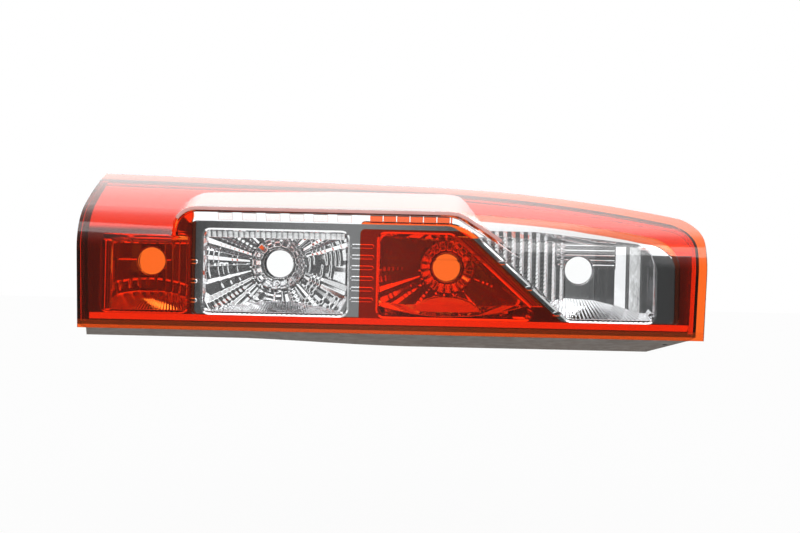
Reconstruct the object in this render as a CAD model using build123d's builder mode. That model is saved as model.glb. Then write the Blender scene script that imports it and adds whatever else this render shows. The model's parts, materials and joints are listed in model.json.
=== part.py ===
"""Rear lamp cluster of a van, drawn in millimetres.

Frame: +X runs along the lamp to its rounded end, -Y is the way the lens faces, +Z is the side
that the lens wraps round. The origin lies midway between the two fixing studs, on the plane of
their bosses. Depths are measured backwards from the flat front of the lens.
"""
import os
from math import atan, cos, degrees, radians, sin, tan

from build123d import *

os.makedirs("parts", exist_ok=True)

# Overall form of the lens
mount_depth = 75.0  # flat front to the plane of the stud bosses
left_end = -321.6  # left end of the lens at its bottom edge
lens_length = 627.1  # along the bottom edge
end_lean = 1.7  # degrees, both ends lean outwards towards the wrapped side
bottom_edge = -63.8  # height of the lower front edge
bottom_flare = 15.0  # degrees, the bottom wall drops towards the back
wrap_start = 10.0  # height where the front starts to wrap, at the left end
wrap_drop = 1.15  # degrees, the wrapped side falls towards the right end
knee_depth = 22.5  # end of the tight bend of the wrap
knee_rise = 45.7
wrap_depth = 89.3  # end of the long bend of the wrap
wrap_rise = 85.2
top_bend = 20.0  # where the upper outline starts to curve down
corner_height = 52.3  # height of the upper right corner before rounding
corner_radius = 26.0
lens_wall = 3.0
lip = 8.0  # the lens overhangs its leg at the right end and along the wrapped side
lower_lip = 4.2  # the flat front hangs this far below the bottom wall
rim_depth = 21.0  # depth of the lens side walls
rim_limit = 97.0  # deepest point of the lens

# Raised flat part of the lens over the two middle chambers
dormer_left = -228.5
dormer_top = 54.8
dormer_corner = 55.3  # where the level top meets the slope
dormer_slope = 32.0  # degrees
dormer_base = 5.0
dormer_left_radius = 24.0
dormer_right_radius = 32.0
dormer_flare = 20.0  # degrees, its sides spread towards the back
dormer_reach = 66.0

# Clear part of the lens
window_left = -208.5
window_right = 280.0
window_bottom = -52.5
window_top = 55.8
window_bend = 40.0  # where its upper edge starts to curve down
window_corner = 29.0
window_radius = 30.0
window_small = 5.0
island_left = -40.5
island_top = 36.7
island_corner = 64.2
island_slope = 41.9  # degrees
island_radius = 22.0

# Reflector insert
insert_inset = 8.0  # clear of the outline of the lens all round
leg_gap = 2.0  # and of the leg of the lens
frame_depth = 9.0  # flat frame strips
insert_wall = 2.0
sill_height = 6.6  # slanted strip along the lower edge
sill_depth = 4.5
ledge_depth = 4.2  # front of the ledge inside the raised part
ledge_gap = 3.7  # ledge to the outside of the raised part
ledge_width = 8.6
ledge_base = 28.0  # lower ends of the ledge
chamber_bottom = -51.0
chamber_1_left = -301.0
chamber_1_right = -214.0
chamber_1_top = 27.0
chamber_2_left = -199.0
chamber_2_right = -53.0
middle_top = 33.0  # chambers 2 and 3
chamber_3_left = -22.0
chamber_3_corner = 52.0
chamber_4_foot = 171.0
chamber_4_top = 40.0
chamber_4_bend = 140.0
chamber_4_right = 258.0
chamber_4_corner = 27.0
mouth_radius = 7.0
mouth_rim = 1.8  # width of the slanted edge round each mouth
rim_tilt = 28.0  # degrees, out of the plane of the frame
crown_radius = 20.0  # rounded upper right corner of chamber 4
hole_radius = 14.3
hole_depth = 52.0
bulb_height = 0.0
bulb_1 = -263.0
bulb_2 = -127.0
bulb_3 = 49.0
bulb_4 = 189.0
floor_rise = 18.0  # chamber floors rise towards the back
ceiling_drop = 7.5
side_draw = 6.0  # chamber sides draw in towards the back
step_depth = 15.0  # least depth of a chamber
facet_count = 20
facet_rings = 4
bowl_focus = 45.0
bowl_reach = 95.0
strip_focus = 30.0
strip_pitch = 9.0
column_pitch = 9.0
column_flat = 4.6
column_start = 74.0
column_depth = 17.0  # depth of the first column
column_count = 11
bar_count = 5
bar_step = 5.0
flute_pitch = 5.0
flute_depth = 0.9
flute_fan = 0.62  # rear width of the fluted floor over its front width
pill_height = 4.4
pill_rise = 1.4
pill_bevel = 0.7
short_pill = 8.0
long_pill = 23.4
left_pill_place = -208.2
left_pill_height = 0.3
left_pill_pitch = 19.5
long_pill_place = -38.3
long_pill_height = 19.5
long_pill_pitch = 10.8
slope_pill_place = 102.8
slope_pill_height = 6.0
slope_pill_step = 28.1

# Housing
wall = 2.6
back_depth = 62.0
back_knee = 44.0  # height where the back starts to slope, at the left end
back_top_depth = 110.0
back_top = 92.0
flange = 3.0
end_taper = 18.3  # degrees, right end wall
skirt_low = 60.0  # rear edge of the bottom wall at the left
skirt_high = 91.0  # and at the right
skirt_from = -200.0
skirt_to = 20.0
shield_gap = 0.4
shield_wall = 2.4
foot_reach = 13.0
port_radius = 18.0
port_wall = 3.0
port_rise = 7.0
edge_hole_radius = 2.2
edge_hole_place = 281.0
edge_hole_depth = 46.0
gusset_wall = 2.2
gusset_pitch = 58.0
gusset_count = 5

# Fasteners and seals
stud_spacing = 190.0
stud_radius = 3.0
stud_length = 20.0
stud_grip = 4.0  # radius of the root moulded into its boss
stud_root = 11.0
boss_radius = 9.0
pin_radius = 5.0
pin_length = 12.0
pin_tip = 5.0
pin_lead = 30.0  # degrees, the tip narrows to find its hole
pin_grip = 3.0
pin_boss = 8.0
pin_boss_depth = 100.0
pin_left = -240.0
pin_right = 130.0
pin_height = 68.0
post_radius = 4.6
screw_radius = 1.6
screw_gap = 0.2
screw_head = 3.5  # half the width across the flats
screw_head_height = 2.4
screw_bite = 12.0
screw_height = -19.0
screw_1 = -206.5
screw_2 = -37.5
screw_3 = 272.0
gasket_left = -298.0
gasket_right = 232.0
gasket_low = -36.0
gasket_high = 32.0
gasket_width = 7.0
gasket_height = 8.0
gasket_radius = 14.0
vent_radius = 3.0
vent_bore = 1.6
vent_length = 8.0
vent_place = -10.0
vent_height = 12.0
cap_radius = 5.2
cap_gap = 1.5
cap_top = 2.0

# Derived values
far = 400.0
margin = 30.0
lean = tan(radians(end_lean))
drop = tan(radians(wrap_drop))
right_end = left_end + lens_length
bulbs = [bulb_1, bulb_2, bulb_3, bulb_4]
screws = [screw_1, screw_2, screw_3]
studs = [-stud_spacing / 2, stud_spacing / 2]
pins = [pin_left, pin_right]
shield_edge = lens_wall + shield_gap + shield_wall


def level(depth):
    """Plane facing the viewer at a depth behind the flat front."""
    return Plane.XZ.offset(mount_depth - depth)


def back_level(depth):
    """Plane at the same depth that faces backwards, with its own y pointing down."""
    return Plane((0, depth - mount_depth, 0), x_dir=(1, 0, 0), z_dir=(0, 1, 0))


along = (cos(radians(wrap_drop)), 0, -sin(radians(wrap_drop)))
side_plane = Plane((left_end - margin, -mount_depth, margin * drop), x_dir=(0, 1, 0), z_dir=along)
bottom_normal = (0, sin(radians(bottom_flare)), cos(radians(bottom_flare)))
bottom_plane = Plane((0, -mount_depth, bottom_edge), x_dir=(1, 0, 0), z_dir=bottom_normal)
taper_normal = (-cos(radians(end_taper)), -sin(radians(end_taper)), 0)
taper_edge = (right_end - lip, rim_depth - mount_depth, 0)
taper_plane = Plane(taper_edge, x_dir=(0, 0, 1), z_dir=taper_normal)
left_normal = (cos(radians(end_lean)), 0, sin(radians(end_lean)))
left_plane = Plane((left_end, 0, bottom_edge), x_dir=(0, 1, 0), z_dir=left_normal)
run = lens_length + 2 * margin


def lamp_form(inset, set_back, overhang=0):
    """Everything behind the lens surface, drawn in at the outline and moved back.

    The overhang draws in the right end and the wrapped side alone.
    """
    with BuildPart() as form:
        with BuildSketch(side_plane):
            with BuildLine():
                Line((set_back, -far), (set_back, wrap_start))
                bend = TangentArc(
                    (set_back, wrap_start),
                    (set_back + knee_depth, wrap_start + knee_rise),
                    tangent=(0, 1),
                )
                sweep_back = TangentArc(
                    bend @ 1, (set_back + wrap_depth, wrap_start + wrap_rise), tangent=bend % 1
                )
                tail = Line(sweep_back @ 1, sweep_back @ 1 + (sweep_back % 1) * 2 * margin)
                Polyline(tail @ 1, (far, (tail @ 1).Y), (far, -far), (set_back, -far))
            make_face()
        extrude(amount=run)
        with BuildSketch(Plane.XZ) as outline:
            with BuildLine():
                low = bottom_edge - 2 * margin
                lean_low = lean * 2 * margin
                top = wrap_start + wrap_rise
                left_top = left_end - lean * (top - bottom_edge)
                right_top = right_end + lean * (corner_height - bottom_edge)
                left_side = Line((left_end + lean_low, low), (left_top, top))
                bend_point = (top_bend, top - drop * (top_bend - left_top))
                Line(left_side @ 1, bend_point)
                TangentArc(bend_point, (right_top, corner_height), tangent=(1, -drop))
                Polyline(
                    (right_top, corner_height), (right_end - lean_low, low), (left_end + lean_low, low)
                )
            make_face()
            corner = outline.vertices().sort_by_distance((right_top, corner_height))[0]
            fillet(corner, corner_radius)
            if inset != 0:
                offset(amount=-inset, kind=Kind.INTERSECTION)
        extrude(amount=far, both=True, mode=Mode.INTERSECT)
        if overhang != 0:
            drawn = outline.sketch.moved(Location((-overhang, 0, -overhang)))
            extrude(drawn, amount=far, both=True, mode=Mode.INTERSECT)
        split(bisect_by=bottom_plane.offset(inset), keep=Keep.TOP)
    return form.part


def dormer_sketch(depth, grow, base):
    """Front outline of the raised part at a depth, grown outwards."""
    foot = dormer_corner + (dormer_top - base) / tan(radians(dormer_slope))
    with BuildSketch(level(depth)) as outline:
        with BuildLine():
            FilletPolyline(
                (dormer_left, base),
                (dormer_left, dormer_top),
                (dormer_corner, dormer_top),
                (foot, base),
                radius=[0, dormer_left_radius, dormer_right_radius, 0],
                close=True,
            )
        make_face()
        if grow != 0:
            offset(amount=grow, kind=Kind.INTERSECTION)
    return outline


def dormer_form(inset, set_back, base=dormer_base):
    """The raised part with its spreading sides."""
    front = dormer_sketch(set_back, -inset, base)
    with BuildPart() as form:
        extrude(front.sketch, amount=-dormer_reach)
        sides = form.faces().filter_by(Axis.Y, reverse=True)
        draft(sides, level(set_back), dormer_flare)
    return form.part


def behind_seam(inset, set_back, overhang=0):
    """Everything behind the joint between lens and housing."""
    with BuildPart() as rear:
        add(lamp_form(inset, 0, overhang))
        split(bisect_by=back_level(rim_limit + set_back), keep=Keep.TOP)
    with BuildPart() as form:
        add(lamp_form(inset, rim_depth + set_back, overhang))
        add(rear.part)
    return form.part


# Lens: one shell with a leg inside its overhanging lip, split into its red and its clear shot
with BuildPart() as under_lip:
    add(lamp_form(-1, lens_wall))
    add(lamp_form(-1, 0, lip + 1), mode=Mode.SUBTRACT)
    split(bisect_by=left_plane.offset(-1), keep=Keep.TOP)

with BuildPart() as front_apron:
    with BuildSketch(level(0)):
        with BuildLine():
            foot = bottom_edge - lower_lip
            shift = lean * lower_lip
            Polyline(
                (left_end, bottom_edge),
                (right_end, bottom_edge),
                (right_end - shift, foot),
                (left_end + shift, foot),
                close=True,
            )
        make_face()
    extrude(amount=-lens_wall)

with BuildPart() as lens_shell:
    add(lamp_form(0, 0))
    add(dormer_form(0, 0))
    add(front_apron.part)
    add(lamp_form(lens_wall, lens_wall, lip), mode=Mode.SUBTRACT)
    add(dormer_form(lens_wall, lens_wall), mode=Mode.SUBTRACT)
    add(under_lip.part, mode=Mode.SUBTRACT)
    add(behind_seam(-1, 0), mode=Mode.SUBTRACT)

with BuildPart() as clear_zone:
    with BuildSketch(Plane.XZ) as zone:
        with BuildLine():
            island_foot = island_corner + (island_top - window_bottom) / tan(radians(island_slope))
            start = (window_bend, window_top)
            upper = TangentArc(start, (window_right, window_corner), tangent=(1, 0))
            Polyline(
                upper @ 1,
                (window_right, window_bottom),
                (island_foot, window_bottom),
                (island_corner, island_top),
                (island_left, island_top),
                (island_left, window_bottom),
                (window_left, window_bottom),
                (window_left, window_top),
                start,
            )
        make_face()
        for place, radius in [
            ((window_right, window_corner), window_radius),
            ((island_corner, island_top), island_radius),
            ((island_left, island_top), window_small),
            ((window_right, window_bottom), window_small),
            ((window_left, window_bottom), window_small),
        ]:
            fillet(zone.vertices().sort_by_distance(place)[0], radius)
    extrude(amount=far, both=True)

with BuildPart() as lens_red:
    add(lens_shell.part)
    add(clear_zone.part, mode=Mode.SUBTRACT)
lens_red.part.label = "lens_red"
export_step(lens_red.part, "parts/lens_red.step")

with BuildPart() as lens_clear:
    add(lens_shell.part)
    add(clear_zone.part, mode=Mode.INTERSECT)
lens_clear.part.label = "lens_clear"
export_step(lens_clear.part, "parts/lens_clear.step")


def drawn_in(corners, amounts):
    """Corners of a clockwise polygon after each side moves inwards by its own amount."""
    moved = []
    count = len(corners)
    for i in range(count):
        lines = []
        for side in (i - 1, i):
            x0, z0 = corners[side]
            x1, z1 = corners[(side + 1) % count]
            size = ((x1 - x0) ** 2 + (z1 - z0) ** 2) ** 0.5
            nx, nz = (z1 - z0) / size, (x0 - x1) / size
            lines.append((nx, nz, nx * x0 + nz * z0 + amounts[side]))
        (a, b, e), (c, d, f) = lines
        det = a * d - b * c
        moved.append(((e * d - b * f) / det, (a * f - e * c) / det))
    return moved


def chamber_block(corners, draws, radii, grow):
    """Chamber space behind its mouth, its sides drawing in towards the back."""
    reach = hole_depth - frame_depth
    middle = (frame_depth + hole_depth) / 2 - mount_depth
    mouth = drawn_in(corners, [-grow] * len(corners))
    with BuildPart() as block:
        with BuildSketch(level(frame_depth)):
            with BuildLine():
                Polyline(*mouth, close=True)
            make_face()
        extrude(amount=-reach - grow)
        for i, draw in enumerate(draws):
            x0, z0 = mouth[i]
            x1, z1 = mouth[(i + 1) % len(mouth)]
            side = block.faces().sort_by_distance(((x0 + x1) / 2, middle, (z0 + z1) / 2))[0]
            draft(side, level(frame_depth), -degrees(atan(draw / reach)))
        halfway = drawn_in(mouth, [draw / 2 for draw in draws])
        for (x, z), radius in zip(halfway, radii):
            if radius > 0:
                fillet(block.edges().sort_by_distance((x, middle, z))[0], radius)
        front = block.faces().sort_by(Axis.Y)[0]
        extrude(front, amount=1)
    return block.part


def flared_edge(corners, radii):
    """Slanted edge round a chamber mouth, cut into the frame."""
    ahead = 0.5
    with BuildPart() as edge:
        with BuildSketch(back_level(frame_depth - ahead)) as outline:
            with BuildLine():
                Polyline(*[(x, -z) for x, z in corners], close=True)
            make_face()
            for (x, z), radius in zip(corners, radii):
                if radius > 0:
                    fillet(outline.vertices().sort_by_distance((x, -z))[0], radius)
            offset(amount=mouth_rim + ahead / tan(radians(rim_tilt)))
        extrude(amount=ahead + mouth_rim * tan(radians(rim_tilt)), taper=90 - rim_tilt)
    return edge.part


def facet_bowl(place, grow):
    """Bowl of flat facets in rings round a bulb hole, plainer on the outside."""
    sides = facet_count if grow == 0 else facet_count // 2
    flat = cos(radians(180 / sides)) if grow == 0 else 1
    spread = bowl_reach - hole_radius - 2
    rings = [hole_radius + 2 + spread * (ring / facet_rings) ** 1.25 for ring in range(facet_rings + 1)]
    with BuildPart() as bowl:
        for inner, outer in zip(rings, rings[1:]):
            low = (outer**2 - hole_radius**2) / (4 * bowl_focus)
            high = (inner**2 - hole_radius**2) / (4 * bowl_focus)
            with BuildSketch(Plane.XY.offset(grow - low)):
                RegularPolygon((outer + grow) * flat, sides, major_radius=False)
            extrude(amount=low - high, taper=degrees(atan((outer - inner) * flat / (low - high))))
    seat = back_level(hole_depth)
    seat.origin = seat.origin + (place, 0, bulb_height)
    return seat.location * bowl.part


def upright_block(outline):
    """Space in front of a row of upright facets, from its plan outline of places and depths."""
    with BuildPart() as block:
        with BuildSketch(Plane.XY):
            with BuildLine():
                Polyline(*[(x, depth - mount_depth) for x, depth in outline], close=True)
            make_face()
        extrude(amount=far, both=True)
    return block.part


def strip_plan(grow):
    """Plan of chamber 1: upright strips along a parabola."""
    count = round((chamber_1_right - chamber_1_left) / strip_pitch)
    step = (chamber_1_right - chamber_1_left + 2 * grow) / count
    outline = [(chamber_1_right + grow, 0), (chamber_1_left - grow, 0)]
    for i in range(count + 1):
        x = chamber_1_left - grow + i * step
        off = max(0, (x - bulb_1) ** 2 - hole_radius**2)
        outline.append((x, hole_depth + grow - off / (4 * strip_focus)))
    return outline


def column_plan(grow):
    """Plan of chamber 4: stepped columns on both sides of the bulb."""
    fall = (hole_depth - column_depth) / column_count
    outline = [(chamber_4_right + grow, 0), (column_start - 4 * column_pitch, 0)]
    outline.append((column_start - 4 * column_pitch, column_depth + grow))
    for i in range(column_count):
        x = column_start + i * column_pitch
        outline.append((x, column_depth + i * fall + grow))
        outline.append((x + column_flat, column_depth + i * fall + grow))
    outline.append((column_start + column_count * column_pitch, hole_depth + grow))
    bar_start = bulb_4 + hole_radius + 2
    outline.append((bar_start, hole_depth + grow))
    for i in range(1, bar_count + 1):
        x = bar_start + i * column_pitch
        outline.append((x, hole_depth - i * bar_step + grow))
        outline.append((x + column_flat, hole_depth - i * bar_step + grow))
    outline.append((chamber_4_right + grow, hole_depth - bar_count * bar_step + grow))
    return outline


def flute_cutter(left, right, centre):
    """Fanned flutes for a chamber floor between two places."""
    count = int((right - left) / flute_pitch)
    pitch = (right - left) / count
    sections = []
    for depth, scale in ((frame_depth - 1, 1.0), (hole_depth, flute_fan)):
        share = (depth - frame_depth) / (hole_depth - frame_depth)
        floor = chamber_bottom + floor_rise * share
        points = []
        for i in range(count):
            x = left + i * pitch
            points.append((centre + (x - centre) * scale, floor + 0.1))
            points.append((centre + (x + pitch / 2 - centre) * scale, floor - flute_depth * scale))
        points.append((centre + (right - centre) * scale, floor + 0.1))
        points.append((centre + (right - centre) * scale, floor + 2))
        points.append((centre + (left - centre) * scale, floor + 2))
        with BuildSketch(level(depth)) as section:
            with BuildLine():
                Polyline(*points, close=True)
            make_face()
        sections.append(section.sketch)
    with BuildPart() as cutter:
        loft(sections, ruled=True)
    return cutter.part


slope_rise = tan(radians(island_slope))
mouth_1 = [
    (chamber_1_left, chamber_bottom),
    (chamber_1_left, chamber_1_top),
    (chamber_1_right, chamber_1_top),
    (chamber_1_right, chamber_bottom),
]
mouth_2 = [
    (chamber_2_left, chamber_bottom),
    (chamber_2_left, middle_top),
    (chamber_2_right, middle_top),
    (chamber_2_right, chamber_bottom),
]
mouth_3 = [
    (chamber_3_left, chamber_bottom),
    (chamber_3_left, middle_top),
    (chamber_3_corner, middle_top),
    (chamber_3_corner + (middle_top - chamber_bottom) / slope_rise, chamber_bottom),
]
mouth_4 = [
    (chamber_4_foot, chamber_bottom),
    (chamber_4_foot - (chamber_4_top - chamber_bottom) / slope_rise, chamber_4_top),
    (chamber_4_bend, chamber_4_top),
    (chamber_4_right, chamber_4_corner),
    (chamber_4_right, chamber_bottom),
]
box_draws = [side_draw, ceiling_drop, side_draw, floor_rise]
box_radii = [mouth_radius] * 4
hall_draws = [side_draw, ceiling_drop, ceiling_drop, side_draw, floor_rise]
hall_radii = [mouth_radius, mouth_radius, 0, crown_radius, mouth_radius]


def chamber(corners, draws, radii, back, flutes):
    """One chamber: a shallow step all over, and the full depth where its back surface allows it."""
    with BuildPart() as limit:
        add(back)
        with BuildSketch(level(0)):
            Rectangle(4 * far, 4 * far)
        extrude(amount=-step_depth)
    with BuildPart() as space:
        add(chamber_block(corners, draws, radii, 0))
        add(flutes)
        add(flared_edge(corners, radii))
        add(limit.part, mode=Mode.INTERSECT)
    return space.part


def chamber_outside(corners, draws, back):
    """Outside of a chamber, one wall larger and with plain corners."""
    with BuildPart() as limit:
        add(back)
        with BuildSketch(level(0)):
            Rectangle(4 * far, 4 * far)
        extrude(amount=-step_depth - insert_wall)
    with BuildPart() as space:
        add(chamber_block(corners, draws, [0] * len(corners), insert_wall))
        add(limit.part, mode=Mode.INTERSECT)
    return space.part


def pill(x, z, length):
    """Small raised rib with sloped sides on a frame strip."""
    with BuildPart() as rib:
        with BuildSketch(level(frame_depth + insert_wall / 2)) as outline:
            with Locations((x, z)):
                Rectangle(length, pill_height)
            chamfer(outline.vertices(), pill_height / 3.4)
        extrude(amount=insert_wall / 2 + pill_rise)
        sides = rib.faces().filter_by(Axis.Y, reverse=True)
        draft(sides, level(frame_depth), degrees(atan(pill_bevel / pill_rise)))
    return rib.part


# Reflector insert: a skin behind the lens with four faceted chambers
ledge_mouth = dormer_sketch(ledge_depth, -ledge_gap - 0.6, dormer_base - 2 * margin)
with BuildPart() as ledge_space:
    extrude(ledge_mouth.sketch, amount=ledge_depth - frame_depth)
    sides = ledge_space.faces().filter_by(Axis.Y, reverse=True)
    draft(sides, level(ledge_depth), -degrees(atan(ledge_width / (frame_depth - ledge_depth))))

with BuildPart() as ledge:
    add(dormer_form(ledge_gap, ledge_depth, ledge_base))
    add(ledge_space.part, mode=Mode.SUBTRACT)

insert_draw = lip + lens_wall + leg_gap - insert_inset
with BuildPart() as insert_form:
    add(lamp_form(insert_inset, frame_depth, insert_draw))
    add(dormer_form(ledge_gap, frame_depth))
    add(ledge.part)
    split(bisect_by=Plane.XY.offset(chamber_bottom - insert_wall), keep=Keep.TOP)

with BuildPart() as insert_hollow:
    add(lamp_form(0, frame_depth + insert_wall))
    add(dormer_form(ledge_gap + insert_wall + 1, frame_depth + insert_wall))

strips = upright_block(strip_plan(0))
columns = upright_block(column_plan(0))
flutes_1 = flute_cutter(chamber_1_left + mouth_radius, chamber_1_right - mouth_radius, bulb_1)
flutes_2 = flute_cutter(chamber_2_left + mouth_radius, chamber_2_right - mouth_radius, bulb_2)
flutes_4 = flute_cutter(chamber_4_foot + mouth_radius, chamber_4_right - mouth_radius, bulb_4)

with BuildPart() as insert_outside:
    add(chamber_outside(mouth_1, box_draws, upright_block(strip_plan(insert_wall))))
    add(chamber_outside(mouth_2, box_draws, facet_bowl(bulb_2, insert_wall)))
    add(chamber_outside(mouth_3, box_draws, facet_bowl(bulb_3, insert_wall)))
    add(chamber_outside(mouth_4, hall_draws, upright_block(column_plan(insert_wall))))
    add(insert_form.part, mode=Mode.INTERSECT)

with BuildPart() as reflector_insert:
    add(insert_form.part)
    add(insert_hollow.part, mode=Mode.SUBTRACT)
    add(insert_outside.part)
    sill_top = chamber_bottom - insert_wall
    sill_start = left_end + shield_edge + shield_gap
    with BuildSketch(Plane((sill_start, -mount_depth, 0), x_dir=(0, 1, 0), z_dir=(1, 0, 0))):
        with BuildLine():
            Polyline(
                (frame_depth, sill_top),
                (frame_depth + sill_depth, sill_top - sill_height),
                (frame_depth + sill_depth + insert_wall, sill_top - sill_height),
                (frame_depth + insert_wall, sill_top),
                close=True,
            )
        make_face()
    extrude(amount=right_end - insert_inset - insert_draw - sill_start)
    with BuildSketch(level(frame_depth + insert_wall)):
        with Locations(*[(place, screw_height) for place in screws]):
            RegularPolygon(post_radius, 8)
    extrude(amount=-(back_depth - wall - frame_depth - insert_wall))
    add(chamber(mouth_1, box_draws, box_radii, strips, flutes_1), mode=Mode.SUBTRACT)
    add(chamber(mouth_2, box_draws, box_radii, facet_bowl(bulb_2, 0), flutes_2), mode=Mode.SUBTRACT)
    add(chamber(mouth_3, box_draws, box_radii, facet_bowl(bulb_3, 0), []), mode=Mode.SUBTRACT)
    add(chamber(mouth_4, hall_draws, hall_radii, columns, flutes_4), mode=Mode.SUBTRACT)
    with BuildSketch(level(hole_depth - 2)):
        with Locations(*[(place, bulb_height) for place in bulbs]):
            Circle(hole_radius)
    extrude(amount=-insert_wall - 4, mode=Mode.SUBTRACT)
    with BuildSketch(back_level(back_depth - wall)):
        with Locations(*[(place, -screw_height) for place in screws]):
            Circle(screw_radius)
    extrude(amount=-screw_bite, mode=Mode.SUBTRACT)
    pills = [(left_pill_place, left_pill_height - i * left_pill_pitch, short_pill) for i in range(3)]
    pills += [(long_pill_place, long_pill_height - i * long_pill_pitch, long_pill) for i in range(6)]
    for i in range(3):
        x = slope_pill_place + i * slope_pill_step
        pills.append((x, slope_pill_height - i * slope_pill_step * slope_rise, short_pill))
    for x, z, length in pills:
        add(pill(x, z, length))
reflector_insert.part.label = "reflector_insert"
export_step(reflector_insert.part, "parts/reflector_insert.step")


def housing_form(inset, set_back):
    """Body of the housing behind the joint, closed by its stepped back and tapered end."""
    with BuildPart() as form:
        add(behind_seam(inset, set_back, lip))
        with BuildSketch(side_plane):
            with BuildLine():
                Polyline(
                    (-far, -far),
                    (back_depth - inset, -far),
                    (back_depth - inset, back_knee),
                    (back_top_depth - inset, back_top),
                    (back_top_depth - inset, far),
                    (-far, far),
                    close=True,
                )
            make_face()
        extrude(amount=run, mode=Mode.INTERSECT)
        split(bisect_by=taper_plane.offset(inset), keep=Keep.TOP)
    return form.part


# Housing: a grey shell that closes the back of the lamp
with BuildPart() as housing_flange:
    add(behind_seam(0, 0, lip))
    add(behind_seam(-1, flange), mode=Mode.SUBTRACT)

with BuildPart() as skirt:
    with BuildSketch(Plane.XY):
        with BuildLine():
            rear = Line((right_end, skirt_high - mount_depth), (skirt_to, skirt_high - mount_depth))
            bend = Spline(rear @ 1, (skirt_from, skirt_low - mount_depth), tangents=[(-1, 0), (-1, 0)])
            inner = back_depth - 2 * wall - mount_depth
            Polyline(bend @ 1, (skirt_from, inner), (right_end, inner), rear @ 0)
        make_face()
    extrude(amount=far, both=True)
    split(bisect_by=bottom_plane, keep=Keep.TOP)
    split(bisect_by=bottom_plane.offset(wall), keep=Keep.BOTTOM)
    split(bisect_by=taper_plane, keep=Keep.TOP)

with BuildPart() as end_skirt:
    with BuildSketch(Plane.XY):
        with BuildLine():
            inner = back_depth - 2 * wall - mount_depth
            rear_line = skirt_high - mount_depth
            Polyline((0, inner), (right_end, inner), (right_end, rear_line), (0, rear_line), close=True)
        make_face()
    extrude(amount=far, both=True)
    split(bisect_by=bottom_plane, keep=Keep.TOP)
    split(bisect_by=Plane.XY.offset(bulb_height), keep=Keep.BOTTOM)
    split(bisect_by=taper_plane, keep=Keep.TOP)
    split(bisect_by=taper_plane.offset(wall), keep=Keep.BOTTOM)

with BuildPart() as left_foot:
    with BuildSketch(Plane.XY):
        with BuildLine():
            Polyline(
                (left_end + wall / 2, rim_depth - mount_depth),
                (left_end - foot_reach, back_depth - mount_depth),
                (left_end + 4 * wall, back_depth - mount_depth),
                (left_end + 4 * wall, rim_depth - mount_depth),
                close=True,
            )
        make_face()
    extrude(amount=far, both=True)
    split(bisect_by=bottom_plane, keep=Keep.TOP)
    split(bisect_by=bottom_plane.offset(3 * wall), keep=Keep.BOTTOM)

with BuildPart() as light_shield:
    add(lamp_form(lens_wall + shield_gap, lens_wall + shield_gap, lip))
    add(behind_seam(-1, flange), mode=Mode.SUBTRACT)
    split(bisect_by=left_plane.offset(shield_edge), keep=Keep.BOTTOM)

with BuildPart() as shield_root:
    add(housing_form(0, 0))
    add(behind_seam(-1, flange), mode=Mode.SUBTRACT)
    split(bisect_by=left_plane.offset(shield_edge), keep=Keep.BOTTOM)

with BuildPart() as rear_housing:
    add(housing_form(0, 0))
    add(housing_flange.part)
    add(skirt.part)
    add(end_skirt.part)
    add(left_foot.part)
    with BuildSketch(level(back_depth - wall)):
        with Locations(*[(place, bulb_height) for place in bulbs]):
            Circle(port_radius + port_wall)
    extrude(amount=-wall - port_rise)
    with BuildSketch(level(back_depth - wall)):
        with Locations(*[(place, 0) for place in studs]):
            Circle(boss_radius)
    extrude(amount=back_depth - wall - mount_depth)
    slope = (back_top_depth - back_depth) / (back_top - back_knee)
    pin_from = back_depth + slope * (pin_height - pin_boss - back_knee)
    with BuildSketch(level(pin_from)):
        with Locations(*[(place, pin_height - drop * (place - left_end)) for place in pins]):
            Circle(pin_boss)
    extrude(amount=pin_from - pin_boss_depth)
    with BuildSketch(level(back_depth - wall)):
        with Locations((vent_place, vent_height)):
            Circle(vent_radius)
    extrude(amount=-wall - vent_length)
    for i in range(gusset_count):
        place = skirt_to + i * gusset_pitch
        with BuildSketch(Plane((place, -mount_depth, 0), x_dir=(0, 1, 0), z_dir=(1, 0, 0))):
            with BuildLine():
                fall = tan(radians(bottom_flare))
                Polyline(
                    (back_depth - wall, gasket_low - gasket_width),
                    (back_depth, gasket_low - gasket_width),
                    (skirt_high - wall, bottom_edge - fall * (skirt_high - wall) + wall),
                    (back_depth - wall, bottom_edge - fall * (back_depth - wall) + wall),
                    close=True,
                )
            make_face()
        extrude(amount=gusset_wall / 2, both=True)
    add(housing_form(wall, -rim_depth / 2), mode=Mode.SUBTRACT)
    add(light_shield.part)
    add(shield_root.part)
    with BuildSketch(level(back_depth - 2 * wall)):
        with Locations(*[(place, bulb_height) for place in bulbs]):
            Circle(port_radius)
        with Locations(*[(place, screw_height) for place in screws]):
            Circle(screw_radius + screw_gap)
        with Locations((vent_place, vent_height)):
            Circle(vent_bore)
    extrude(amount=-far, mode=Mode.SUBTRACT)
    with BuildSketch(back_level(mount_depth)):
        with Locations(*[(place, 0) for place in studs]):
            RegularPolygon(stud_grip, 6)
    extrude(amount=-stud_root, mode=Mode.SUBTRACT)
    with BuildSketch(back_level(pin_boss_depth)):
        with Locations(*[(place, drop * (place - left_end) - pin_height) for place in pins]):
            RegularPolygon(pin_grip, 6)
    extrude(amount=-stud_root, mode=Mode.SUBTRACT)
    with BuildSketch(bottom_plane):
        with Locations((edge_hole_place, edge_hole_depth / cos(radians(bottom_flare)))):
            Circle(edge_hole_radius)
    extrude(amount=2 * wall, mode=Mode.SUBTRACT)
rear_housing.part.label = "rear_housing"
export_step(rear_housing.part, "parts/rear_housing.step")

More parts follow.
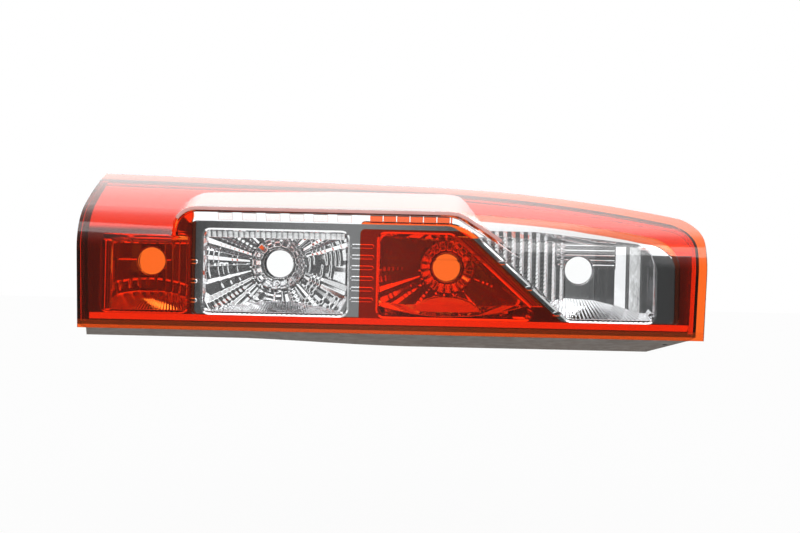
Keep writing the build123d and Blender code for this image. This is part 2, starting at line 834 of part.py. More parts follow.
# Fixings and seals on the back
with BuildPart() as mounting_studs:
    with BuildSketch(back_level(mount_depth - stud_root)):
        with Locations(*[(place, 0) for place in studs]):
            RegularPolygon(stud_grip, 6)
    extrude(amount=stud_root)
    with BuildSketch(back_level(mount_depth)):
        with Locations(*[(place, 0) for place in studs]):
            Circle(stud_radius)
    extrude(amount=stud_length)
mounting_studs.part.label = "mounting_studs"
export_step(mounting_studs.part, "parts/mounting_studs.step")

with BuildPart() as locating_pins:
    places = [(place, drop * (place - left_end) - pin_height) for place in pins]
    with BuildSketch(back_level(pin_boss_depth - stud_root)):
        with Locations(*places):
            RegularPolygon(pin_grip, 6)
    extrude(amount=stud_root)
    with BuildSketch(back_level(pin_boss_depth)):
        with Locations(*places):
            Circle(pin_radius)
    extrude(amount=pin_length)
    with BuildSketch(back_level(pin_boss_depth + pin_length)):
        with Locations(*places):
            Circle(pin_radius)
    extrude(amount=pin_tip, taper=pin_lead)
locating_pins.part.label = "locating_pins"
export_step(locating_pins.part, "parts/locating_pins.step")

with BuildPart() as insert_screws:
    with BuildSketch(back_level(back_depth - wall - screw_bite)):
        with Locations(*[(place, -screw_height) for place in screws]):
            Circle(screw_radius)
    extrude(amount=screw_bite + wall)
    with BuildSketch(back_level(back_depth)):
        with Locations(*[(place, -screw_height) for place in screws]):
            RegularPolygon(screw_head, 6, major_radius=False)
    extrude(amount=screw_head_height)
insert_screws.part.label = "insert_screws"
export_step(insert_screws.part, "parts/insert_screws.step")

with BuildPart() as body_gasket:
    with BuildSketch(back_level(back_depth)):
        with Locations(((gasket_left + gasket_right) / 2, -(gasket_low + gasket_high) / 2)):
            RectangleRounded(gasket_right - gasket_left, gasket_high - gasket_low, gasket_radius)
            RectangleRounded(
                gasket_right - gasket_left - 2 * gasket_width,
                gasket_high - gasket_low - 2 * gasket_width,
                gasket_radius - gasket_width,
                mode=Mode.SUBTRACT,
            )
    extrude(amount=gasket_height)
body_gasket.part.label = "body_gasket"
export_step(body_gasket.part, "parts/body_gasket.step")

with BuildPart() as vent_cap:
    with BuildSketch(back_level(back_depth + cap_gap)):
        with Locations((vent_place, -vent_height)):
            Circle(cap_radius)
    extrude(amount=vent_length - cap_gap + cap_top)
    with BuildSketch(back_level(back_depth)):
        with Locations((vent_place, -vent_height)):
            Circle(vent_radius)
    extrude(amount=vent_length, mode=Mode.SUBTRACT)
vent_cap.part.label = "vent_cap"
export_step(vent_cap.part, "parts/vent_cap.step")
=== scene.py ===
"""Studio scene of a van rear lamp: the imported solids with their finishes, light and camera."""
import json
import math
from collections import namedtuple

import bpy
import numpy as np
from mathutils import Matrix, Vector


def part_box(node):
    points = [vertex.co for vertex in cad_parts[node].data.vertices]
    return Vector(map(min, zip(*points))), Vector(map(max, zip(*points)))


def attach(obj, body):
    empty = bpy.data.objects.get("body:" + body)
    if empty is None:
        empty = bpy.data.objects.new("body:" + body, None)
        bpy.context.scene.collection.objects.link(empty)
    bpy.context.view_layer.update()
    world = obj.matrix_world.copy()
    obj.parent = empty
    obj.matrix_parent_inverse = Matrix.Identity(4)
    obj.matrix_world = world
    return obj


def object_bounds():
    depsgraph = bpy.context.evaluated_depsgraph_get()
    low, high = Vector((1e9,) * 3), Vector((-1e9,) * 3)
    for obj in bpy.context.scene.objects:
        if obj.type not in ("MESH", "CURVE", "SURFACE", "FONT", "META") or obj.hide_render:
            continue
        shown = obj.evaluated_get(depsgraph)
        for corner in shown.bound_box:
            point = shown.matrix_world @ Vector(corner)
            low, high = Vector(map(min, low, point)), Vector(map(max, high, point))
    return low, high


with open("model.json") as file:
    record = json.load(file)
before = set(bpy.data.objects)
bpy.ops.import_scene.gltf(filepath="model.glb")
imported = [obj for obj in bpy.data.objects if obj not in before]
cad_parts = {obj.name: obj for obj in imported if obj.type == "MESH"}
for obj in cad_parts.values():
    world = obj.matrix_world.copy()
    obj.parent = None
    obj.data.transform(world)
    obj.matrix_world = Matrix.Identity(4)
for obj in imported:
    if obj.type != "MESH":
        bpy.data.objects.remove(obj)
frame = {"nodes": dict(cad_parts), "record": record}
nodes = frame["nodes"]
cad_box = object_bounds()
mounts = {mount["name"]: mount for mount in frame["record"]["mounts"]}

# Camera, in metres, from the photograph: its distance to the lens front, and one pixel per millimetre there
lens_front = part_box("lens_red")[0].y
view_distance = 0.850
image_width = 0.800
sensor_width = 36.0  # in millimetres, as Blender has it
near_clip = 0.01
roll = math.radians(1.3)

# Studio, seen from the lamp. Directions are sines, in pairs where an edge is soft. Light level 1 is white.
table_edge = (-0.12, 0.12)
table_level = 1.08
room_level = 0.11
dark_cone = (0.86, 0.95)  # the camera's side of the room
dark_level = 0.05
glow_level = 0.2
glow_place = -0.07
glow_width = 0.22
front_edge = (-0.05, 0.05)
upper_box = (0.57, 0.60, 0.81, 0.84)
lower_box = (0.58, 0.66, 0.99, 1.0)
upper_start = (-0.26, -0.20)  # where the upper box begins, as seen through the lens
box_level = 1.4
mirror_box_level = 3.2
middle_edge = (-0.01, 0.01)
side_box = (0.72, 0.76)
side_end = (0.84, 0.88)  # on the left
side_level = 1.2
over_edge = (-0.70, -0.56)  # front edge of the light overhead, as seen through the lens
back_glow = (-0.60, 0.55)  # the light overhead as it is mirrored, brighter to the back
back_glow_level = (0.6, 2.8)
back_glow_foot = (0.30, 0.62)
dim_foot = (0.035, 0.06)  # a dimmer strip behind the lamp, just above its top
dim_head = (0.16, 0.25)
dim_turn = (0.0, 0.2)
dim_share = (0.75, 0.3)  # on the left and on the right
haze_level = 0.1  # over all that is mirrored
diffuse_level = 0.9

# Floor, in metres
floor_drop = 0.22
floor_front = 2.0
floor_back = 6.0
floor_share = 0.9  # how much of it is plain white to the camera, the rest keeping the shadow

# Finishes: colours, and heights in metres
white = (1, 1, 1, 1)
floor_grey = (0.9, 0.9, 0.9, 1)
lens_red = (1.0, 0.15, 0.017, 1)
lens_clear = (0.97, 0.98, 0.98, 1)
silver = (0.86, 0.86, 0.87, 1)
pale_silver = (0.88, 0.80, 0.79, 1)
red_silver = (0.78, 0.13, 0.045, 1)
zinc_grey = (0.62, 0.62, 0.60, 1)
# The near-black colour below and the bore values further down paint shade into the edge hole of the housing
painted_shade_black = (0.004, 0.004, 0.004, 1)
red_clarity = 0.985
rim_clarity = 0.85  # of the red lens along its lower rim
rim_height = (0.0092, 0.0106)
acrylic_ior = 1.49
noise_span = (0.3, 0.7)  # where the values of a noise mostly lie
bore_shade = 1.35  # radius of the shade in the edge hole, as a share of the hole's
bore_fade = 0.0004

# Reflector, in millimetres: x along the lamp, z up, depths from the lens front
mm = 0.001
grid_step = 0.6
skin_lift = 0.4  # sets skins off the solids, where they have no depth of their own
skin_wall = 0.25
frame_depth = 9.0
hole_radius = 14.3
hole_depth = 52.0
chamber_floor = -51.0
floor_rise = 18.0
floor_bend = 0.0032  # the floors steepen towards the back
flat_bend = 0.0018  # and that of chamber 1 less
ceiling_drop = 7.5
side_draw = 6.0
middle_top = 33.0
slope_turn = math.radians(41.9)  # slanted wall between chambers 3 and 4
slope_3 = 52.0  # where that wall meets the ceiling of chamber 3
slope_4 = 171.0  # and the floor of chamber 4
column_pitch = 9.0
petal_ring = (18.0, 27.0)
dome_size = (36.0, 21.0)
ledge_top = 50.6
bulbs = [mounts[f"bulb_port_{number}"]["pos_m"][0] / mm for number in (1, 2, 3, 4)]

Chamber = namedtuple("Chamber", "left right top bulb")
chamber_1 = Chamber(-301.0, -214.0, 27.0, bulbs[0])
chamber_2 = Chamber(-199.0, -53.0, middle_top, bulbs[1])
chamber_3 = Chamber(-22.0, slope_3, middle_top, bulbs[2])
chamber_4 = Chamber(slope_4, 258.0, 36.0, bulbs[3])


def add_camera():
    data = bpy.data.cameras.new("camera")
    data.sensor_width = sensor_width
    data.lens = sensor_width * view_distance / image_width
    data.clip_start = near_clip
    camera = bpy.data.objects.new("camera", data)
    camera.location = (0, lens_front - view_distance, 0)
    camera.rotation_euler = (math.radians(90), -roll, 0)
    bpy.context.scene.collection.objects.link(camera)
    bpy.context.scene.camera = camera


class Graph:
    """Short calls for building a node tree."""

    def __init__(self, tree):
        self.tree = tree
        self.tree.nodes.clear()

    def add(self, kind, inputs=None, **settings):
        node = self.tree.nodes.new(kind)
        for key, value in settings.items():
            setattr(node, key, value)
        for key, value in (inputs or {}).items():
            if isinstance(value, bpy.types.NodeSocket):
                self.tree.links.new(value, node.inputs[key])
            else:
                node.inputs[key].default_value = value
        return node

    def math(self, operation, a, b=0.0):
        return self.add("ShaderNodeMath", {0: a, 1: b}, operation=operation).outputs[0]

    def vector(self, operation, a, b=(0, 0, 0)):
        return self.add("ShaderNodeVectorMath", {0: a, 1: b}, operation=operation).outputs

    def chain(self, operation, terms):
        result = terms[0]
        for term in terms[1:]:
            result = self.math(operation, result, term)
        return result

    def product(self, *factors):
        return self.chain("MULTIPLY", factors)

    def total(self, *terms):
        return self.chain("ADD", terms)

    def ramp(self, value, low, high, to_low=0.0, to_high=1.0):
        """Smooth step from to_low to to_high as value goes from low to high."""
        inputs = {"Value": value, "From Min": low, "From Max": high, "To Min": to_low, "To Max": to_high}
        node = self.add("ShaderNodeMapRange", inputs, interpolation_type="SMOOTHSTEP")
        return node.outputs["Result"]

    def blend(self, share, a, b):
        """Number a where share is 0, and b where it is 1."""
        return self.add("ShaderNodeMix", {0: share, 2: a, 3: b}).outputs[0]

    def blend_colours(self, share, a, b):
        return self.add("ShaderNodeMix", {0: share, 6: a, 7: b}, data_type="RGBA").outputs[2]


def room_light(graph, axes, to_front):
    """The dim room, darker round the camera but for a faint glow beside it."""
    cone = graph.ramp(to_front, *dark_cone, room_level, dark_level)
    aside = graph.math("ABSOLUTE", graph.math("SUBTRACT", axes["X"], glow_place))
    glow = graph.ramp(aside, 0.0, glow_width, glow_level, 0.0)
    return graph.total(cone, graph.product(glow, graph.ramp(to_front, *dark_cone)))


def soft_box(graph, up, to_front, box):
    """A long light in front of the lamp, between two heights."""
    rise = graph.ramp(up, box[0], box[1])
    fall = graph.ramp(up, box[2], box[3], 1.0, 0.0)
    return graph.product(rise, fall, graph.ramp(to_front, *front_edge))


def side_lights(graph, axes, to_front):
    """Lights at both ends of the lamp, the left one narrower."""
    aside = graph.math("ABSOLUTE", axes["X"])
    right = graph.ramp(aside, *side_box)
    left = graph.product(right, graph.ramp(aside, *side_end, 1.0, 0.0))
    sides = graph.blend(graph.ramp(axes["X"], *middle_edge), left, right)
    return graph.product(sides, graph.ramp(to_front, *front_edge), side_level)


def dim_strip(graph, axes, table):
    """Share of the light that is missing just above the lamp's top."""
    strip = graph.product(graph.ramp(axes["Z"], *dim_foot), graph.ramp(axes["Z"], *dim_head, 1.0, 0.0), table)
    return graph.product(strip, graph.ramp(axes["X"], *dim_turn, *dim_share))


def studio_world():
    """A lamp lying on a white table in a dim room, the camera over it, a soft box at each side."""
    world = bpy.data.worlds.new("studio")
    bpy.context.scene.world = world
    world.use_nodes = True
    graph = Graph(world.node_tree)
    direction = graph.add("ShaderNodeTexCoord").outputs["Generated"]
    axes = graph.add("ShaderNodeSeparateXYZ", {0: direction}).outputs
    to_front = graph.math("MULTIPLY", axes["Y"], -1.0)
    down = graph.math("MULTIPLY", axes["Z"], -1.0)
    table = graph.ramp(axes["Y"], *table_edge)
    level = graph.blend(table, room_light(graph, axes, to_front), table_level)
    upper = soft_box(graph, axes["Z"], to_front, upper_box)
    lower = soft_box(graph, down, to_front, lower_box)
    above = graph.ramp(axes["Z"], *back_glow_foot)

    # Through the lens
    over = graph.product(above, graph.ramp(axes["Y"], *over_edge), table_level)
    lit = graph.math("SUBTRACT", 1.0, dim_strip(graph, axes, table))
    behind = graph.math("MAXIMUM", graph.product(level, lit), over)
    ahead = graph.total(lower, graph.product(upper, graph.ramp(axes["X"], *upper_start)))
    inner = graph.total(behind, graph.product(ahead, box_level), side_lights(graph, axes, to_front))

    # Mirrored by outer surfaces
    boxes = graph.product(graph.total(upper, lower), mirror_box_level)
    bright = graph.product(above, graph.ramp(axes["Y"], *back_glow, *back_glow_level))
    outer = graph.total(level, boxes, bright, haze_level)

    paths = graph.add("ShaderNodeLightPath").outputs
    seen = [
        ("Is Glossy Ray", outer),
        ("Is Transmission Ray", inner),
        ("Is Camera Ray", 1.0),
    ]
    mixed = graph.add("ShaderNodeBackground", {"Color": white, "Strength": diffuse_level}).outputs[0]
    for path, strength in seen:
        light = graph.add("ShaderNodeBackground", {"Color": white, "Strength": strength}).outputs[0]
        mixed = graph.add("ShaderNodeMixShader", {0: paths[path], 1: mixed, 2: light}).outputs[0]
    graph.add("ShaderNodeOutputWorld", {"Surface": mixed})


def new_material(name):
    material = bpy.data.materials.new(name)
    material.use_nodes = True
    return material, Graph(material.node_tree)


def object_place(graph):
    return graph.add("ShaderNodeTexCoord").outputs["Object"]


def noise(graph, scale, detail=2.0):
    inputs = {"Vector": object_place(graph), "Scale": scale, "Detail": detail}
    return graph.add("ShaderNodeTexNoise", inputs).outputs["Fac"]


def uneven(graph, scale, low, high):
    """A value that wanders between two limits."""
    return graph.ramp(noise(graph, scale), *noise_span, low, high)


def bump(graph, height, distance):
    inputs = {"Height": height, "Distance": distance, "Strength": 1.0}
    return graph.add("ShaderNodeBump", inputs).outputs["Normal"]


def finish(graph, inputs):
    shader = graph.add("ShaderNodeBsdfPrincipled", inputs).outputs[0]
    graph.add("ShaderNodeOutputMaterial", {"Surface": shader})


def faded_rim(graph, low_clarity, clarity):
    """A clarity that is lower along the lower rim of the lens."""
    height = graph.add("ShaderNodeSeparateXYZ", {0: object_place(graph)}).outputs["Z"]
    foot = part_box("lens_red")[0].z
    rim = [foot + rise for rise in rim_height]
    return graph.ramp(height, *rim, low_clarity, clarity)


def lens_material(name, colour, clarity, low_clarity=None):
    """Polished acrylic with the faint waviness of a moulding, and a lower rim that may be less clear."""
    wave_scale, wave_depth = 60.0, 0.00004
    material, graph = new_material(name)
    finish(graph, {
        "Base Color": colour,
        "IOR": acrylic_ior,
        "Transmission Weight": faded_rim(graph, low_clarity, clarity) if low_clarity else clarity,
        "Roughness": 0.0,
        "Normal": bump(graph, noise(graph, wave_scale), wave_depth),
    })
    return material


def metallised_material(name, colour):
    """Vacuum metallised plastic, slightly uneven."""
    sheen_scale, sheen = 180.0, (0.03, 0.08)
    wave_scale, wave_depth = 110.0, 0.00005
    material, graph = new_material(name)
    finish(graph, {
        "Base Color": colour,
        "Metallic": 1.0,
        "Roughness": uneven(graph, sheen_scale, *sheen),
        "Normal": bump(graph, noise(graph, wave_scale), wave_depth),
    })
    return material


def zinc_material(name):
    """Zinc plated steel in patches of different sheen."""
    sheen_scale, sheen = 300.0, (0.25, 0.4)
    material, graph = new_material(name)
    finish(graph, {
        "Base Color": zinc_grey,
        "Metallic": 1.0,
        "Roughness": uneven(graph, sheen_scale, *sheen),
    })
    return material


def painted_bore_shade(graph, colour, mount):
    """Painted shade: a colour that goes almost black in a small bore, standing in for the shade inside it."""
    radius = bore_shade * mount["dims"]["r_mm"] * mm
    offset = graph.vector("SUBTRACT", object_place(graph), mount["pos_m"])[0]
    off_axis = graph.vector("CROSS_PRODUCT", offset, mount["axis"])[0]
    distance = graph.vector("LENGTH", off_axis)["Value"]
    inside = graph.ramp(distance, radius, radius + bore_fade, 1.0, 0.0)
    return graph.blend_colours(inside, colour, painted_shade_black)


def grained_material(name, colour, second, roughness, grain, depth, bore=None):
    """Moulded plastic, foam or rubber with a fine grain and a little colour variation, and painted shade in a
    bore if one is given.
    """
    patch_scale, patch_detail, patch_edge = 30.0, 4.0, (0.35, 0.65)
    sheen_scale, sheen_spread, gloss = 90.0, 0.06, 0.1
    grain_detail = 3.0
    material, graph = new_material(name)
    patches = graph.ramp(noise(graph, patch_scale, patch_detail), *patch_edge)
    mottled = graph.blend_colours(patches, colour, second)
    finish(graph, {
        "Base Color": painted_bore_shade(graph, mottled, bore) if bore else mottled,
        "Roughness": uneven(graph, sheen_scale, roughness - sheen_spread, roughness + sheen_spread),
        "Specular IOR Level": gloss,
        "Normal": bump(graph, noise(graph, grain, grain_detail), depth),
    })
    return material


def dress(node, material):
    nodes[node].data.materials.clear()
    nodes[node].data.materials.append(material)


def dress_solids():
    """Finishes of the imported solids."""
    dress("lens_red", lens_material("red_lens", lens_red, red_clarity, rim_clarity))
    dress("lens_clear", lens_material("clear_lens", lens_clear, clarity=1.0))
    dress("reflector_insert", metallised_material("metallised", silver))
    # The housing's edge hole gets painted shade, its bore darkened to almost black
    dress("rear_housing", grained_material(
        "housing", (0.100, 0.078, 0.062, 1), (0.084, 0.066, 0.053, 1),
        roughness=0.55, grain=1400.0, depth=0.00006, bore=mounts["edge_hole"],
    ))
    dress("body_gasket", grained_material(
        "foam", (0.03, 0.03, 0.03, 1), (0.02, 0.02, 0.02, 1),
        roughness=0.85, grain=900.0, depth=0.0003,
    ))
    dress("vent_cap", grained_material(
        "vent_rubber", (0.02, 0.02, 0.02, 1), (0.03, 0.03, 0.03, 1),
        roughness=0.6, grain=900.0, depth=0.00005,
    ))
    dress("locating_pins", grained_material(
        "white_plastic", (0.8, 0.8, 0.76, 1), (0.76, 0.76, 0.71, 1),
        roughness=0.35, grain=700.0, depth=0.00003,
    ))
    zinc = zinc_material("zinc_steel")
    dress("mounting_studs", zinc)
    dress("insert_screws", zinc)


def add_floor():
    """Pale floor below the lamp that keeps its shadow."""
    low = cad_box[0][2] - floor_drop
    mesh = bpy.data.meshes.new("floor")
    corners = [
        (-floor_back, -floor_front, low),
        (floor_back, -floor_front, low),
        (floor_back, floor_back, low),
        (-floor_back, floor_back, low),
    ]
    mesh.from_pydata(corners, [], [(0, 1, 2, 3)])
    floor = bpy.data.objects.new("floor", mesh)
    bpy.context.scene.collection.objects.link(floor)
    floor.visible_glossy = False
    floor.visible_transmission = False
    material, graph = new_material("floor")
    diffuse = graph.add("ShaderNodeBsdfDiffuse", {"Color": floor_grey}).outputs[0]
    glow = graph.add("ShaderNodeEmission", {"Color": white, "Strength": 1.0}).outputs[0]
    paths = graph.add("ShaderNodeLightPath").outputs
    seen = graph.math("MAXIMUM", paths["Is Camera Ray"], paths["Is Transmission Ray"])
    seen = graph.math("MAXIMUM", seen, paths["Is Glossy Ray"])
    share = graph.math("MULTIPLY", seen, floor_share)
    mixed = graph.add("ShaderNodeMixShader", {0: share, 1: diffuse, 2: glow}).outputs[0]
    graph.add("ShaderNodeOutputMaterial", {"Surface": mixed})
    mesh.materials.append(material)


def pillow(share):
    """Height of a crowned facet across its width, from 0 at its edges to 1."""
    part = np.mod(share, 1.0)
    return 1.0 - (2.0 * part - 1.0) ** 2


def ridge(share, rise):
    """Flat-topped ridge across one facet, with a groove beside it and flanks of a given rise."""
    ridge_width = 0.85
    part = np.mod(share, 1.0)
    return np.minimum(np.minimum(part, ridge_width - part).clip(0.0) / rise, 1.0)


def scatter(i, j, seed):
    """Repeatable spread of values from -1 to 1 over numbered facets, by the usual sine hash."""
    return 2.0 * np.mod(np.sin(i * 12.9898 + j * 78.233 + seed * 37.719) * 43758.5453, 1.0) - 1.0


def step_up(value, width):
    """Straight ramp from 0 to 1 over a width."""
    return np.clip(value / width, 0.0, 1.0)


def depth_share(d):
    """Depth in a chamber as a share, from its mouth to the bulb hole."""
    return (d - frame_depth) / (hole_depth - frame_depth)


def side_distance(x, z, chamber):
    """Distance to the nearer side of a chamber, some sides being slanted."""
    from_left = x - chamber.left
    from_right = chamber.right - x
    if chamber is chamber_4:
        from_left = (from_left + (z - chamber_floor) / math.tan(slope_turn)) * math.sin(slope_turn)
    if chamber is chamber_3:
        from_right = (from_right + (middle_top - z) / math.tan(slope_turn)) * math.sin(slope_turn)
    return np.minimum(from_left, from_right)


def wall_limit(x, z, chamber):
    """Depth at which the chamber's floor, ceiling or sides are met."""
    floor = (z - chamber_floor) / floor_rise
    ceiling = (chamber.top - z) / ceiling_drop
    sides = side_distance(x, z, chamber) / side_draw
    return frame_depth + (hole_depth - frame_depth) * np.minimum(np.minimum(floor, ceiling), sides)


def radial_bowl(bulb, near, far, sectors, flank, petals, crown):
    """Bowl round a bulb with uneven radial ridges and a ring of petals, whose flanks catch the light.

    Its slope goes from near, at the bulb hole, to far, at the rim.
    """
    focus, reach, cell = 45.0, 78.0, 4.5
    ridge_rise, ridge_start = 0.3, 3.0
    strength, spread = 0.65, 0.35
    crowned_above = -0.2
    petal_slope, petal_rise = 0.55, 0.12
    span = reach - hole_radius
    rim = hole_depth - (reach**2 - hole_radius**2) / (4 * focus)

    def depth(x, z):
        r = np.hypot(x - bulb, z)
        out = np.clip(r, None, reach) - hole_radius
        base = rim + near * (span - out) + (far - near) * (span**2 - out**2) / (2 * span)
        turn = np.arctan2(z, x - bulb) / (2 * math.pi)
        i = np.floor(turn * sectors)
        j = np.floor(out / cell)
        width = 2 * math.pi * r / sectors
        height = flank * (strength + spread * scatter(i, 0, 1)) * ridge_rise * width
        relief = height * ridge(turn * sectors, ridge_rise) * step_up(r - petal_ring[1], ridge_start)
        relief += crown * cell * pillow(out / cell) * (scatter(i, j, 2) > crowned_above)
        ring = (r > petal_ring[0]) & (r < petal_ring[1])
        relief += petal_slope * (r - petal_ring[0]) * ring * ridge(turn * petals, petal_rise)
        return base - relief

    return depth


def domed(bowl, bulb):
    """A bowl with a smooth steep dome below its bulb."""
    front, slope, bend = 16.0, 0.68, 0.0025

    def depth(x, z):
        rise = z - chamber_floor
        inside = ((x - bulb) / dome_size[0]) ** 2 + (rise / dome_size[1]) ** 2 < 1.0
        dome = front + slope * rise - bend * (x - bulb) ** 2
        return np.where(inside, np.minimum(bowl(x, z), dome), bowl(x, z))

    return depth


def strip_bowl(left, right, bulb):
    """Upright dark strips with rows of short bright edges: an arc, a line and an upper row."""
    focus = 30.0
    least_slope, most_slope = -0.25, 0.62
    dash_start, dash_rise = 0.3, 0.25
    arc_top, arc_bend, arc_rise, arc_fall, arc_height = -17.5, 0.0035, 2.6, 9.0, 1.9
    line_top, line_rise, line_end, line_height = 2.5, 2.4, bulb + 22.0, 1.6
    upper_foot, upper_rise, upper_height = 18.0, 2.4, 1.3
    count = round((right - left) / column_pitch)
    edges = np.linspace(left, right, count + 1)
    depths = hole_depth - np.maximum(0, (edges - bulb) ** 2 - hole_radius**2) / (4 * focus)

    def depth(x, z):
        i = np.clip(((x - left) / (right - left) * count).astype(int), 0, count - 1)
        across = (x - edges[i]) / (edges[1] - edges[0])
        slope = (depths[i + 1] - depths[i]) / (edges[1] - edges[0])
        near = np.minimum(depths[i], depths[i + 1])
        flat = np.clip(slope, least_slope, most_slope)
        base = near + np.where(slope > 0, flat * (x - edges[i]), flat * (x - edges[i + 1]))
        dash = step_up(pillow(across) - dash_start, dash_rise)
        below = arc_top - arc_bend * (x - bulb) ** 2 - z
        arc = (step_up(below, arc_rise) - step_up(below - arc_rise, arc_fall)) * dash
        line = step_up(line_top - z, line_rise) * np.where(x < bulb, 1.0, dash) * (x < line_end)
        upper = step_up(z - upper_foot, upper_rise) * dash
        return base - skin_lift - arc_height * arc - line_height * line - upper_height * upper

    return depth


def column_bowl(right, bulb):
    """Stepped columns with slanted ridges on the left, plain bright bars on the right."""
    left, start, count, first = 40.0, 74.0, 11, 17.0
    flat, edge, slant = 4.6, 0.6, 1.7  # of each column: its flat part, its step and the fall up to that step
    rope_height, rope_lean, rope_pitch = 0.35, 0.7, 4.2
    row_height, row_pitch, row_foot, row_rise, row_reach = 1.0, 5.0, 2.0, 3.0, 24.0
    bar_gap, end_depth = 2.0, 26.0
    bar_steps = [(0.0, hole_depth - 3.0), (19.0, 41.0), (30.0, 34.0), (32.0, 33.8), (43.0, 27.0)]
    bars = bulb + hole_radius + bar_gap
    rows_end = bars + bar_steps[1][0]
    fall = (hole_depth - first) / count
    plan = [(left, first), (start, first)]
    for i in range(count):
        place, level = start + i * column_pitch, first + i * fall
        plan.append((place + flat, level))
        plan.append((place + column_pitch - edge, level + slant))
        plan.append((place + column_pitch, first + (i + 1) * fall))
    plan += [(bars + place, level) for place, level in bar_steps]
    plan.append((right, end_depth))
    places, depths = zip(*plan)

    def depth(x, z):
        base = np.interp(x, places, depths)
        rope = rope_height * pillow((z - rope_lean * x) / rope_pitch) * (x < bulb - hole_radius)
        rows = row_height * pillow(z / row_pitch) * step_up(z - row_foot, row_rise)
        rows = rows * (x > bulb - row_reach) * (x < rows_end)
        return base - skin_lift - rope - rows

    return depth


def sheet(name, x, d, z, keep=None, turned=False):
    """Thin piece over a grid of places and depths, of the cells whose corners are all kept.

    A turned piece faces the other way.
    """
    points = np.stack([x, lens_front / mm + d, z], -1)
    keep = np.full(points.shape[:2], True) if keep is None else keep
    if turned:
        points, keep = points[:, ::-1], keep[:, ::-1]
    cells = keep[:-1, :-1] & keep[1:, :-1] & keep[1:, 1:] & keep[:-1, 1:]
    index = np.arange(keep.size).reshape(keep.shape)
    quads = np.stack([index[:-1, :-1], index[1:, :-1], index[1:, 1:], index[:-1, 1:]], -1)[cells]
    used, quads = np.unique(quads, return_inverse=True)
    mesh = bpy.data.meshes.new(name)
    mesh.from_pydata((points.reshape(-1, 3)[used] * mm).tolist(), [], quads.reshape(-1, 4).tolist())
    mesh.shade_smooth()
    piece = bpy.data.objects.new(name, mesh)
    bpy.context.scene.collection.objects.link(piece)
    wall = piece.modifiers.new("wall", "SOLIDIFY")
    wall.thickness = skin_wall * mm
    wall.offset = -1.0
    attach(piece, "root")
    return piece


def places_across(chamber):
    """Places along the lamp that cover a chamber and what its slanted side leaves open."""
    reach_left, reach_right = 110.0, 95.0
    left = min(chamber.left, chamber.bulb - reach_left)
    right = max(chamber.right, chamber.bulb + reach_right)
    return np.arange(left, right, grid_step)


def bowl_skin(name, chamber, depth):
    """Fine faceted surface of a chamber's bowl, in front of its solid."""
    shallowest = frame_depth + 2.0
    heights = np.arange(chamber_floor, chamber.top, grid_step)
    x, z = np.meshgrid(places_across(chamber), heights, indexing="ij")
    d = depth(x, z)
    keep = (d > shallowest) & (d < wall_limit(x, z, chamber))
    keep &= np.hypot(x - chamber.bulb, z) > hole_radius + grid_step
    return sheet(name, x, d, z, keep)


def floor_skin(name, chamber, depth, flute=0.0, hollow=0.0, bend=floor_bend):
    """Fanned fine flutes, or a plain hollow, over a chamber's floor."""
    front, step, overlap = frame_depth + 1.5, 1.0, 1.0
    flute_fan, flute_height = 0.62, 0.125
    x, d = np.meshgrid(places_across(chamber), np.arange(front, hole_depth, step), indexing="ij")
    share = depth_share(d)
    fanned = (x - chamber.bulb) / (1.0 - (1.0 - flute_fan) * share)
    z = chamber_floor + skin_lift + floor_rise * share + bend / 2 * (d - frame_depth) ** 2
    z += hollow * (x - chamber.bulb) ** 2
    if flute > 0:
        z += flute_height * flute * pillow(fanned / flute)
    keep = d < depth(x, z) + overlap
    keep &= d < frame_depth + hole_depth * side_distance(x, z, chamber) / side_draw
    return sheet(name, x, d, z, keep, turned=True)


def wall_skin(name, chamber):
    """Left wall of a chamber behind a flat front edge, leaning away so that the bulb hole stays out of it."""
    flange, corner, foot, reach = 9.0, 0.2, 4.2, 27.0
    below_top, step = 3.0, 3.0
    course = np.array([(0.0, 0.0), (flange - corner, 0.0), (flange, corner), (foot, reach)])
    heights = np.arange(chamber_floor, chamber.top - below_top, step)
    z, k = np.meshgrid(heights, np.arange(len(course)), indexing="ij")
    d = frame_depth + skin_lift + course[k, 1]
    z = np.maximum(z, chamber_floor + floor_rise * depth_share(d))
    return sheet(name, chamber.left + course[k, 0], d, z)


def edge_plate(name, chamber):
    """Flat front edge under the ceiling of a chamber."""
    inset, height, gap = 1.0, 5.0, 0.2
    ends = (chamber.left + inset, chamber.right - inset)
    x, z = np.meshgrid(ends, (chamber.top - height, chamber.top - gap), indexing="ij")
    return sheet(name, x, np.full(x.shape, frame_depth + skin_lift), z)


def brow_skin(name, chamber):
    """Slanted band under the ceiling of a chamber, in shallow flutes."""
    inset, height, gap, step = 3.0, 7.5, 0.6, 0.5
    front, slope, flute_height, flute = 1.6, 0.375, 0.3, 5.5
    places = np.arange(chamber.left + inset, chamber.right - inset, step)
    heights = np.arange(chamber.top - height, chamber.top - gap, step)
    x, z = np.meshgrid(places, heights, indexing="ij")
    d = frame_depth + front + slope * (chamber.top - gap - z) - flute_height * pillow(x / flute)
    return sheet(name, x, d, z)


def ledge_skin(name, left, right, pitch, width):
    """Row of short plates on the ledge above the chambers."""
    low, high, lift = 7.6, 0.2, 0.8
    front, slope = 4.5, 0.558
    along_step, up_step = 0.5, 0.4
    heights = np.arange(ledge_top - low, ledge_top - high, up_step)
    x, z = np.meshgrid(np.arange(left, right, along_step), heights, indexing="ij")
    d = front + slope * (ledge_top - z) - lift
    return sheet(name, x, d, z, np.mod(x - left, pitch) < width)


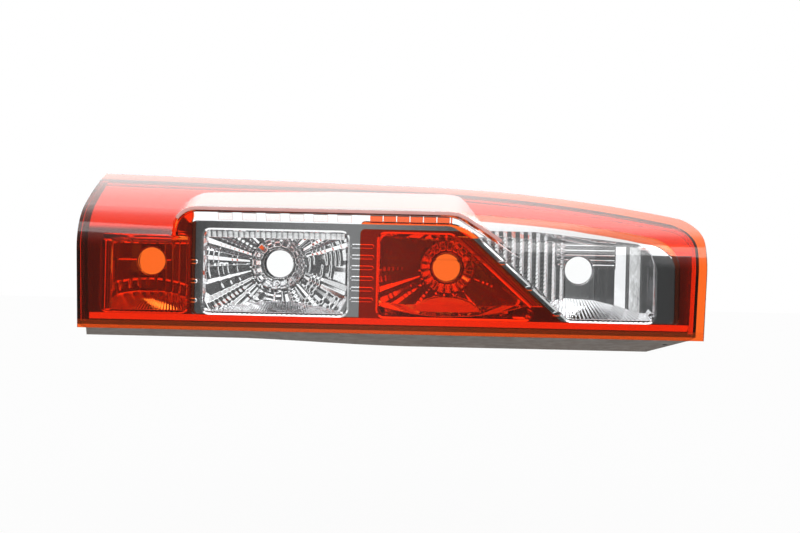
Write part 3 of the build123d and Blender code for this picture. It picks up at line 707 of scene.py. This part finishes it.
def edge_bead(name):
    """Half-round bead along the upper front edge of the raised part."""
    left, top, corner, corner_start = -228.5, 54.0, 24.0, 0.6
    right_end = [(50.0, 0.0), (58.0, 1.1), (66.0, 4.6), (101.0, 26.4)]  # places, and drops from the top
    radius, half_turn, gap = 1.7, 1.2, 0.1
    corner_points, round_points = 12, 9
    turns = np.linspace(corner_start, math.pi / 2, corner_points)
    course = [(left + corner * (1 - math.cos(a)), top - corner * (1 - math.sin(a))) for a in turns]
    course += [(place, top - drop) for place, drop in right_end]
    course = np.array(course)
    along = np.gradient(course, axis=0)
    along /= np.linalg.norm(along, axis=1)[:, None]
    side = np.stack([-along[:, 1], along[:, 0]], -1)
    turn = np.linspace(-half_turn, half_turn, round_points)
    points = course[:, None] + side[:, None] * (radius * np.sin(turn))[None, :, None]
    d = np.broadcast_to(-gap - radius * (np.cos(turn) - np.cos(half_turn)), points.shape[:2])
    return sheet(name, points[..., 0], d, points[..., 1], turned=True)


def slope_ribs(name):
    """Thin ribs on the frame along the slanted side of chamber 3."""
    pitch, count, width, slope = 2.4, 4, 0.8, 0.6
    start, end, along_step, across_step = 2.0, 108.0, 2.0, 0.2
    lines = np.arange(pitch, count * pitch, across_step)
    across, along = np.meshgrid(lines, np.arange(start, end, along_step), indexing="ij")
    x = slope_3 + across / math.sin(slope_turn) + along * math.cos(slope_turn)
    z = middle_top - along * math.sin(slope_turn)
    part = np.mod(across, pitch)
    return sheet(name, x, frame_depth - skin_lift - slope * np.where(part < width, part, 0.0), z)


def add_optics():
    """Fine surfaces of the reflector, which ride on the lamp."""
    strips = strip_bowl(chamber_1.left, chamber_1.right, chamber_1.bulb)
    facets = radial_bowl(chamber_2.bulb, near=0.25, far=0.45, sectors=26, flank=0.55, petals=17, crown=0.09)
    rays = radial_bowl(chamber_3.bulb, near=0.2, far=0.42, sectors=22, flank=0.30, petals=19, crown=0.02)
    rays = domed(rays, chamber_3.bulb)
    columns = column_bowl(chamber_4.right, chamber_4.bulb)
    metal = nodes["reflector_insert"].data.materials[0]
    for skin in [
        bowl_skin("optics_1", chamber_1, strips),
        bowl_skin("optics_2", chamber_2, facets),
        bowl_skin("optics_3", chamber_3, rays),
        bowl_skin("optics_4", chamber_4, columns),
        wall_skin("side_1", chamber_1),
        edge_plate("edge_1", chamber_1),
        brow_skin("brow_2", chamber_2),
        slope_ribs("ribs_3"),
        floor_skin("flutes_1", chamber_1, strips, flute=3.2, bend=flat_bend),
        floor_skin("flutes_2", chamber_2, facets, flute=2.8),
        floor_skin("hollow_3", chamber_3, rays, hollow=0.002),
        floor_skin("flutes_4", chamber_4, columns, flute=4.4),
    ]:
        skin.data.materials.append(metal)
    plates = ledge_skin("plates_2", -184.0, -44.0, pitch=24.0, width=15.0)
    plates.data.materials.append(metallised_material("pale_metallised", pale_silver))
    plates = ledge_skin("plates_3", -31.0, slope_3, pitch=13.5, width=12.8)
    plates.data.materials.append(metallised_material("red_metallised", red_silver))


def add_bead():
    edge = edge_bead("bead")
    # The bead's pale pink is a painted highlight: it stands in for the bright line that light carried along
    # the red lens edge makes
    edge.data.materials.append(grained_material(
        "edge_painted_highlight", (0.80, 0.45, 0.42, 1), (0.76, 0.40, 0.37, 1),
        roughness=0.3, grain=200.0, depth=0.00002,
    ))


add_camera()
studio_world()
add_floor()
dress_solids()
add_optics()
add_bead()

scene = bpy.context.scene
scene.view_settings.view_transform = "Standard"
# Enough bounces for light that passes the lens twice and goes round among the facets
scene.cycles.max_bounces = 64
scene.cycles.glossy_bounces = 40
scene.cycles.transmission_bounces = 64
scene.cycles.sample_clamp_indirect = 8.0
